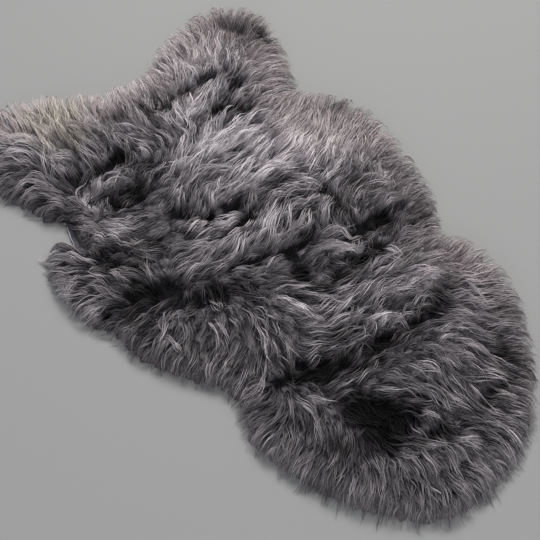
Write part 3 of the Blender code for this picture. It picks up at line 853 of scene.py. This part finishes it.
def combed_locks():
    """The centre lines of the locks, as (lock, point, axis), with each point's tone and softness."""
    rng = np.random.default_rng(7)
    share = np.linspace(0, 1, LOCK_POINTS)

    # the tufts: how each one turns, bends, curls, stands and waves
    tufts = lattice(TUFT_SPACING, TUFT_INSET, rng)
    parted, full_tufts = np.clip(-fullness(tufts), 0, 1), np.clip(fullness(tufts), 0, 1)
    curls = within(tufts, CURLY)
    ruffled = np.clip(-from_edge(tufts)[0] / RUFFLED_INSET, 0.2, 1) * (1 + parted)
    ruffled *= 1 - 0.7 * within(tufts, CALM)
    alike = smooth_noise(tufts, 55 * MM, 3), smooth_noise(tufts, 60 * MM, 13)
    turn = alike[0] * TURN_ALIKE + rng.normal(0, TURN_OWN, len(tufts)) * ruffled
    bend = (alike[1] * BEND_ALIKE + rng.normal(0, BEND_OWN, len(tufts))) * ruffled
    turn += rng.normal(0, TURN_CURLY, len(tufts)) * curls
    bend += rng.normal(0, BEND_CURLY, len(tufts)) * curls
    tuft_length = rng.uniform(*TUFT_LENGTH, len(tufts)) * (1 - 0.35 * curls)
    tuft_lines = combed_lines(tufts, tuft_length, turn, bend)
    tuft_lift = rng.beta(2.0, 1.4, len(tufts)) * (1 - 0.55 * full_tufts) + 0.55 * full_tufts
    tuft_tone = rng.normal(0, 1, len(tufts))
    wave_size = rng.uniform(*LOCK_WAVE, len(tufts)) * (1 + 0.5 * parted + 0.6 * curls)
    wave_length = rng.uniform(*LOCK_WAVE_LENGTH, len(tufts)) * (1 - 0.2 * curls)

    # the locks' roots, and the tuft that each belongs to
    inner = lattice(LOCK_SPACING, LOCK_INSET, rng)
    rim = np.concatenate([edge_places(RIM_LOCK_SPACING, inset, rng) for inset in RIM_ROWS])
    roots = np.concatenate([inner, rim])
    at_rim = np.arange(len(roots)) >= len(inner)
    grows = within(roots, BARE) < 0.5
    roots, at_rim = roots[grows], at_rim[grows]
    count = len(roots)
    home = np.linalg.norm(roots[:, None, :] - tufts[None, :, :], axis=2).argmin(axis=1)
    apart = roots - tufts[home]
    calm, backlit = within(roots, CALM), backlit_paleness(roots)

    # inner locks run with their tuft and close up towards its tip, and rim locks follow the comb
    size = rng.uniform(*LOCK_SIZE, count)
    close = TUFT_GATHER[0] + (TUFT_GATHER[1] - TUFT_GATHER[0]) * full_tufts[home]
    gather = close[:, None] * share[None, :] ** 1.4
    lines = np.zeros((count, LOCK_POINTS, 3))
    run = tuft_lines[home] - tuft_lines[home][:, :1]
    lines[:, :, :2] = roots[:, None, :] + run * size[:, None, None]
    lines[:, :, :2] -= apart[:, None, :] * gather[:, :, None]
    oblique = np.clip(np.sum(combed_way(roots) * outward_at(roots), axis=1), 0.45, 1)
    to_rim = (sample(reach_field, roots) - from_edge(roots)[0]) * RIM_SLACK / oblique
    to_rim = np.minimum(to_rim, LONGEST)
    rim_turn = 0.16 * smooth_noise(roots, 40 * MM, 17) + rng.normal(0, 0.05, count)
    rim_lines = combed_lines(roots, to_rim, rim_turn, 0.25 * smooth_noise(roots, 45 * MM, 19))
    lines[at_rim, :, :2] = rim_lines[at_rim]
    # an inner lock's root lies upstream, so that the lock passes over its own place
    shift = -run[:, 2] * rng.uniform(0.3, 1.7, count)[:, None]
    moves = (from_edge(roots + shift)[0] < -1 * MM) & ~at_rim
    lines[:, :, :2] += np.where(moves[:, None], shift, 0)[:, None, :]

    # each lock waves from side to side
    along = unit(np.diff(lines[:, :, :2], axis=1, append=2 * lines[:, -1:, :2] - lines[:, -2:-1, :2]))
    side = np.stack([-along[..., 1], along[..., 0]], axis=2)
    reach = np.where(at_rim, to_rim, np.linalg.norm(run[:, -1], axis=1) * size)
    turns = reach / wave_length[home] * rng.uniform(0.92, 1.08, count) * 2 * math.pi
    phase = 3.0 * smooth_noise(roots, 50 * MM, 23) + rng.normal(0, 0.4, count)
    wave = wave_size[home] * rng.uniform(0.6, 1.4, count)
    angle = turns[:, None] * share + phase[:, None]
    lines[:, :, :2] += side * (wave[:, None] * np.sin(angle) * np.minimum(1, share * 2))[..., None]

    # what would reach past the wool's own outline is shortened
    flat = lines[:, :, :2].reshape(-1, 2)
    past = (sample(outside_field, flat) - sample(reach_field, flat)).reshape(count, LOCK_POINTS)
    limit = 4.5 * MM * smooth_noise(roots, 26 * MM, 41) + rng.uniform(-4 * MM, 7 * MM, count)
    limit += rng.normal(0, 3.0 * MM, len(tufts))[home]
    over = past > limit[:, None]
    over |= within(flat, BARE).reshape(count, LOCK_POINTS) > 0.6
    stop = np.clip((over.argmax(axis=1) - 0.5) / (LOCK_POINTS - 1), 0.25, 1)
    keep = np.where(over.any(axis=1), stop, 1)
    for k in np.nonzero(keep < 1)[0]:
        for axis in (0, 1):
            lines[k, :, axis] = np.interp(share * keep[k], share, lines[k, :, axis])

    # a lock rises from its root to the height of the wool, or lies somewhat under it
    flat = lines[:, :, :2].reshape(-1, 2)
    top = sample(height_field, flat).reshape(count, LOCK_POINTS)
    rise = np.interp(share, *LOCK_RISE)
    middle = 1 - np.clip(np.linalg.norm(apart, axis=1) / (TUFT_SPACING * 0.6), 0, 1) ** 2
    band = bands(lines[:, LOCK_POINTS // 2, :2])
    lift = 0.58 + 0.28 * tuft_lift[home] + 0.10 * middle + 0.07 * band + rng.normal(0, 0.04, count)
    lift = np.where(at_rim, 1 - 0.75 * rng.uniform(0, 1, count) ** 1.6, lift)
    crimp = 1 + CRIMP * np.cos(angle)
    lines[:, :, 2] = np.maximum(top * rise[None, :] * lift[:, None] * crimp, LOWEST_LOCK)

    # its tone follows the patches, the bands, its tuft and how deep it lies
    full = fullness(flat).reshape(count, LOCK_POINTS)
    own = TONE_TUFT * tuft_tone[home] + TONE_AROUND * smooth_noise(roots, 45 * MM, 21)
    own += TONE_BAND * band + np.clip(rng.normal(0, TONE_CHANCE, count), -0.35, 0.35)
    # on the backlit side the tone is painted even and pale, as painted light of the lamp behind it
    even = 1 - np.maximum(0.75 * backlit, 0.6 * calm)
    own *= (1 - 0.35 * np.clip(full[:, LOCK_POINTS // 2], 0, 1)) * even
    # locks that lie lower, and curly ones, are darker: painted shade under and between the locks
    deep = np.clip((lift - 0.55) / 0.45, 0, 1)
    own += 0.35 * (deep - 0.6) * (1 - 0.6 * np.maximum(backlit, calm)) - 0.25 * curls[home]
    # each wave is lighter at its crest and darker in its trough: a painted highlight and painted shade
    glint = 1 + (0.20 - 0.12 * backlit)[:, None] * np.cos(angle)
    tone = (0.40 + 0.40 * full) * np.exp(np.clip(own, -1.3, 0.5))[:, None] * glint
    # the thin fringe that lies on the floor is darkened with painted shade, except where the wool is
    # backlit and pale
    tone *= 1 - 0.5 * (1 - np.clip(lines[:, :, 2] / FLOOR_SHADE_HEIGHT, 0, 1)) * (1 - backlit)[:, None]
    tone = PALEST * np.tanh(np.maximum(tone, 0.01) / PALEST)
    return lines, tone, np.repeat(backlit, LOCK_POINTS).reshape(count, LOCK_POINTS)


def stray_locks():
    """The locks of the table, each drawn through its three points and lying on top of the rest."""
    rng = np.random.default_rng(11)
    share = np.linspace(0, 1, LOCK_POINTS)[:, None]
    lines, tone = [], []
    for start, middle, end, count, pale in STRAYS:
        start, middle, end = (np.array(point) * MM for point in (start, middle, end))
        bent = 2 * middle - (start + end) / 2
        path = start * (1 - share) ** 2 + bent * 2 * share * (1 - share) + end * share**2
        way = (end - start) / np.linalg.norm(end - start)
        side = np.array([-way[1], way[0]])
        for _ in range(count):
            apart = rng.normal(0, 3.0 * MM) * (1 - 0.7 * share)
            size, turns, phase = rng.uniform(0.6, 1.6), rng.uniform(1.2, 1.9), rng.uniform(0, 3)
            flat = path + side * (apart + size * MM * np.sin(share * 2 * math.pi * turns + phase))
            top = np.maximum(sample(height_field, flat), 6 * MM)
            rise = np.interp(share[:, 0], *STRAY_RISE)
            lines.append(np.column_stack([flat, top * rise * rng.uniform(0.92, 1.03)]))
            tone.append(np.full(LOCK_POINTS, pale * rng.uniform(0.8, 1.15)))
    return np.array(lines), np.array(tone)


def lines_mesh(name, lines, values):
    """The locks' centre lines as a mesh of edges, with values on their points."""
    count, points = lines.shape[:2]
    mesh = bpy.data.meshes.new(name)
    mesh.vertices.add(count * points)
    mesh.vertices.foreach_set("co", lines.astype(np.float32).ravel())
    first = (np.arange(count)[:, None] * points + np.arange(points - 1)[None, :]).ravel()
    mesh.edges.add(len(first))
    mesh.edges.foreach_set("vertices", np.stack([first, first + 1], axis=1).astype(np.int32).ravel())
    for key, value in values.items():
        set_values(mesh, key, value.ravel())
    mesh.update()
    return mesh


def wool_material():
    """Dyed wool: nearly black at the root, which is painted shade deep in the pile, and pale at the tip,
    partly its own colour and partly painted light of the lamp shining through; each fibre a little
    different.
    """
    made, nodes, shader = new_material("dyed wool")
    number = nodes.number
    tone, backlit, cream, along = (nodes.kept(name) for name in ("tone", "backlit", "cream", "along"))
    full = number("MAXIMUM", number("MULTIPLY_ADD", tone, 2.2, -0.95), number("MULTIPLY", backlit, 0.62))
    full = number("MINIMUM", full, 0.75)
    rest = number("MAXIMUM", number("SUBTRACT", 0.8, along), 0.0)
    colour = nodes.graded(number("MULTIPLY_ADD", full, rest, along), WOOL_SHADES)
    level = number("MULTIPLY_ADD", number("POWER", tone, 1.75), TONE_GAIN, 0.01)
    chance = number("MULTIPLY_ADD", nodes.kept("fibre_chance"), 0.5, -0.25)
    lively = number("MULTIPLY_ADD", backlit, -0.3, number("MULTIPLY_ADD", full, -0.6, 1.0))
    level = number("MULTIPLY", level, number("MULTIPLY_ADD", chance, lively, 1.0))
    colour = nodes.mixed(1.0, colour, number("MINIMUM", level, BRIGHTEST), "MULTIPLY")
    # the backlit side is tinted warm: painted light of the lamp behind it
    warm = number("MULTIPLY", backlit, number("SUBTRACT", 1.0, cream))
    for share, tint in ((warm, WARM_TINT), (cream, CREAM_TINT)):
        colour = nodes.mixed(share, colour, tint, "MULTIPLY")
    nodes.feed(shader, {"Base Color": colour, "Roughness": 0.58, "Specular IOR Level": 0.10})
    return made


def fibre_tree(material):
    """Geometry nodes that grow a bundle of wavy, tapered fibres along each lock's centre line."""
    tree = bpy.data.node_groups.new("grow fibres", "GeometryNodeTree")
    sockets = tree.interface.new_socket
    sockets("Geometry", in_out="OUTPUT", socket_type="NodeSocketGeometry")
    sockets("Lines", in_out="INPUT", socket_type="NodeSocketGeometry")
    for name, value in FIBRE.items():
        kind = "NodeSocketInt" if isinstance(value, int) else "NodeSocketFloat"
        sockets(name, in_out="INPUT", socket_type=kind)
    nodes = Nodes(tree)
    number, vector = nodes.number, nodes.vector
    given = nodes.add("NodeGroupInput").outputs

    def grow(kind, inputs=None, out=0, **settings):
        return nodes.add(kind, inputs, **settings).outputs[out]

    def stored(name, kind):
        return grow("GeometryNodeInputNamedAttribute", {"Name": name}, "Attribute", data_type=kind)

    def store(geometry, name, value, kind, domain):
        inputs = {"Geometry": geometry, "Name": name, "Value": value}
        settings = {"data_type": kind, "domain": domain}
        return grow("GeometryNodeStoreNamedAttribute", inputs, "Geometry", **settings)

    def parts(place):
        return nodes.add("ShaderNodeSeparateXYZ", {0: place}).outputs

    curves = grow("GeometryNodeMeshToCurve", {"Mesh": given["Lines"]}, "Curve")
    copies = {"Geometry": curves, "Amount": given["Fibres per lock"]}
    made = grow("GeometryNodeDuplicateElements", copies, "Geometry", domain="SPLINE")
    chance = nodes.add("FunctionNodeRandomValue", {"Seed": given["Seed"]}, data_type="FLOAT_VECTOR")
    made = store(made, "chance", chance.outputs[0], "FLOAT_VECTOR", "CURVE")
    chance = nodes.add("FunctionNodeRandomValue", {"Seed": number("ADD", given["Seed"], 1)})
    made = store(made, "fibre_chance", chance.outputs[1], "FLOAT", "CURVE")

    # each fibre ends with its lock, or a little before it
    fibre_chance = stored("fibre_chance", "FLOAT")
    span = number("SUBTRACT", 1.0, given["Shortest"])
    end = number("MULTIPLY_ADD", fibre_chance, span, given["Shortest"])
    ends = {"Curve": made, "Start": given["Hidden root"], "End": end}
    made = grow("GeometryNodeTrimCurve", ends, "Curve", mode="FACTOR")
    made = grow("GeometryNodeResampleCurve", {"Curve": made, "Count": given["Points per fibre"]}, "Curve")

    # it lies a little beside the lock's centre line, and frizzes round that course
    along = grow("GeometryNodeSplineParameter", out="Factor")
    tangent = grow("GeometryNodeInputTangent")
    side = vector("NORMALIZE", vector("CROSS_PRODUCT", tangent, (0.0, 0.0, 1.0)))
    rise = vector("CROSS_PRODUCT", side, tangent)
    own = parts(stored("chance", "FLOAT_VECTOR"))
    across, up = (number("MULTIPLY_ADD", own[axis], 2.0, -1.0) for axis in "XY")
    spread = {"Factor": along, "A": given["Root spread"], "B": given["Tip spread"]}
    spread = grow("ShaderNodeMix", spread)
    angle = number("MULTIPLY", number("MULTIPLY", along, given["Frizz turns"]), 2 * math.pi)
    angle = number("ADD", angle, number("MULTIPLY", own["Z"], 2 * math.pi))
    frizz, lift = (number("MULTIPLY", number(wave, angle), given["Frizz"]) for wave in ("SINE", "COSINE"))
    sideways = number("MULTIPLY_ADD", across, spread, frizz)
    upwards = number("MULTIPLY_ADD", number("MULTIPLY", up, 0.6), spread, lift)
    offset = vector("ADD", vector("SCALE", side, Scale=sideways), vector("SCALE", rise, Scale=upwards))
    place = parts(vector("ADD", grow("GeometryNodeInputPosition"), offset))
    height = number("MAXIMUM", place["Z"], given["Floor clearance"])
    place = grow("ShaderNodeCombineXYZ", {"X": place["X"], "Y": place["Y"], "Z": height})
    made = grow("GeometryNodeSetPosition", {"Geometry": made, "Position": place}, "Geometry")

    # it tapers to its tip
    taper = number("SUBTRACT", 1.0, number("POWER", along, 4.0))
    taper = number("MULTIPLY_ADD", taper, 0.90, 0.10)
    thick = number("MULTIPLY", taper, number("MULTIPLY_ADD", fibre_chance, 0.7, 0.65))
    radius = number("MULTIPLY", thick, given["Radius"])
    made = grow("GeometryNodeSetCurveRadius", {"Curve": made, "Radius": radius}, "Curve")
    made = store(made, "along", along, "FLOAT", "POINT")
    ring = grow("GeometryNodeCurvePrimitiveCircle", {"Resolution": 3, "Radius": 1.0}, "Curve")
    tubes = {"Curve": made, "Profile Curve": ring, "Fill Caps": True}
    tubes["Scale"] = grow("GeometryNodeInputRadius")
    made = grow("GeometryNodeCurveToMesh", tubes, "Mesh")
    made = grow("GeometryNodeSetShadeSmooth", {"Geometry": made}, "Geometry")
    made = grow("GeometryNodeRealizeInstances", {"Geometry": made}, "Geometry")
    made = grow("GeometryNodeSetMaterial", {"Geometry": made, "Material": material}, "Geometry")
    nodes.add("NodeGroupOutput", {"Geometry": made})
    return tree


def unwrap_fibres(mesh, points):
    """A UV map named OFBake, in which every fibre has a cell of its own, laid out flat."""
    corners = len(mesh.loops)
    vertex = np.empty(corners, np.int32)
    mesh.loops.foreach_get("vertex_index", vertex)
    starts = np.empty(len(mesh.polygons), np.int32)
    mesh.polygons.foreach_get("loop_start", starts)
    counts = np.diff(starts, append=corners)
    face = np.repeat(np.arange(len(starts)), counts)
    fibre, ring, side = vertex // (points * 3), vertex % (points * 3) // 3, vertex % 3
    cap = np.repeat(counts == 3, counts)
    last = np.zeros(len(starts), bool)
    last[np.unique(face[side == 2])] = True
    first = np.zeros(len(starts), bool)
    first[np.unique(face[side == 0])] = True
    wraps = (first & last)[face] & (side == 0) & ~cap
    # in its cell, a fibre's three sides lie below each other, with its caps to their left and right
    along = 0.12 + 0.76 * ring / (points - 1)
    across = 0.86 - 0.24 * np.where(wraps, 3, side)
    along = np.where(cap, np.where(ring == 0, 0.04, 0.92) + 0.04 * (side == 1), along)
    columns = int(math.ceil(math.sqrt((fibre.max() + 1) / 4)))
    rows = int(math.ceil((fibre.max() + 1) / columns))
    uv = np.stack([(fibre % columns + along) / columns, (fibre // columns + across) / rows], axis=1)
    mesh.uv_layers.new(name="OFBake").data.foreach_set("uv", uv.astype(np.float32).ravel())


def grown(name, lines, values, tree):
    """The wool on these locks, as one plain mesh object."""
    guide = placed(name + "_lines", lines_mesh(name + "_lines", lines, values))
    grow = guide.modifiers.new("grow fibres", "NODES")
    grow.node_group = tree
    sockets = {s.name: s.identifier for s in tree.interface.items_tree if s.in_out == "INPUT"}
    for key, value in FIBRE.items():
        grow[sockets[key]] = value
    graph = bpy.context.evaluated_depsgraph_get()
    mesh = bpy.data.meshes.new_from_object(guide.evaluated_get(graph))
    mesh.name = name
    unwrap_fibres(mesh, FIBRE["Points per fibre"])
    bpy.data.objects.remove(guide)
    return placed(name, mesh)


lock_lines, lock_tone, lock_backlit = combed_locks()
stray_lines, stray_tone = stray_locks()
lines = np.concatenate([lock_lines, stray_lines])
looks = {
    "tone": np.concatenate([lock_tone, stray_tone]),
    "backlit": np.concatenate([lock_backlit, np.zeros(stray_tone.shape)]),
    "cream": within(lines[:, :, :2].reshape(-1, 2), CREAM).reshape(lines.shape[:2]),
}
fibres = fibre_tree(wool_material())
order = np.argsort(lines[:, 0, 1])
for n, share in enumerate(np.array_split(order, 5)):
    own = {key: value[share] for key, value in looks.items()}
    wool = grown(f"wool_{n + 1}", lines[share], own, fibres)
    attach(wool, "root")
    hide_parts("fleece")

# ---------------------------------------------------------------------------------------------
# Floor, light and camera: a plain grey floor, one large soft lamp high on the far side, a weaker
# one low on the near side, and a camera that looks down on the pelt from its near side.

floor_paint, _, shader = new_material("floor")
shader.inputs["Base Color"].default_value = (0.200, 0.200, 0.199, 1)
shader.inputs["Roughness"].default_value = 0.8
bpy.ops.mesh.primitive_plane_add(size=14)
floor = bpy.context.object
floor.name = "floor"
floor.data.materials.append(floor_paint)

AIM = Vector((-0.01656, -0.02465, 0.0))


def aimed(name, data, heading, rise, distance):
    """A lamp or a camera that looks at the pelt's middle, from a heading and a rise in degrees."""
    made = placed(name, data)
    turn, tilt = math.radians(heading), math.radians(rise)
    away = Vector((math.cos(turn) * math.cos(tilt), math.sin(turn) * math.cos(tilt), math.sin(tilt)))
    made.location = AIM + away * distance
    made.rotation_euler = (-away).to_track_quat("-Z", "Y").to_euler()
    return made


def soft_light(name, size, power, colour, **place):
    lamp = bpy.data.lights.new(name, "AREA")
    lamp.size = size
    lamp.energy = power
    lamp.color = colour
    return aimed(name, lamp, **place)


camera = aimed("camera", bpy.data.cameras.new("camera"), heading=-127, rise=54, distance=1.75)
camera.data.lens = 70.0
camera.data.sensor_width = 36.0
bpy.context.scene.camera = camera
soft_light("key", size=2.4, power=315, colour=(1.0, 0.985, 0.97), heading=42, rise=60, distance=4.5)
soft_light("fill", size=2.5, power=42, colour=(0.94, 0.96, 1.0), heading=222, rise=36, distance=3.0)
world = bpy.data.worlds.new("studio")
world.use_nodes = True
world.node_tree.nodes["Background"].inputs["Color"].default_value = (0.85, 0.9, 0.95, 1)
world.node_tree.nodes["Background"].inputs["Strength"].default_value = 0.28
bpy.context.scene.world = world
bpy.context.scene.view_settings.view_transform = "Standard"
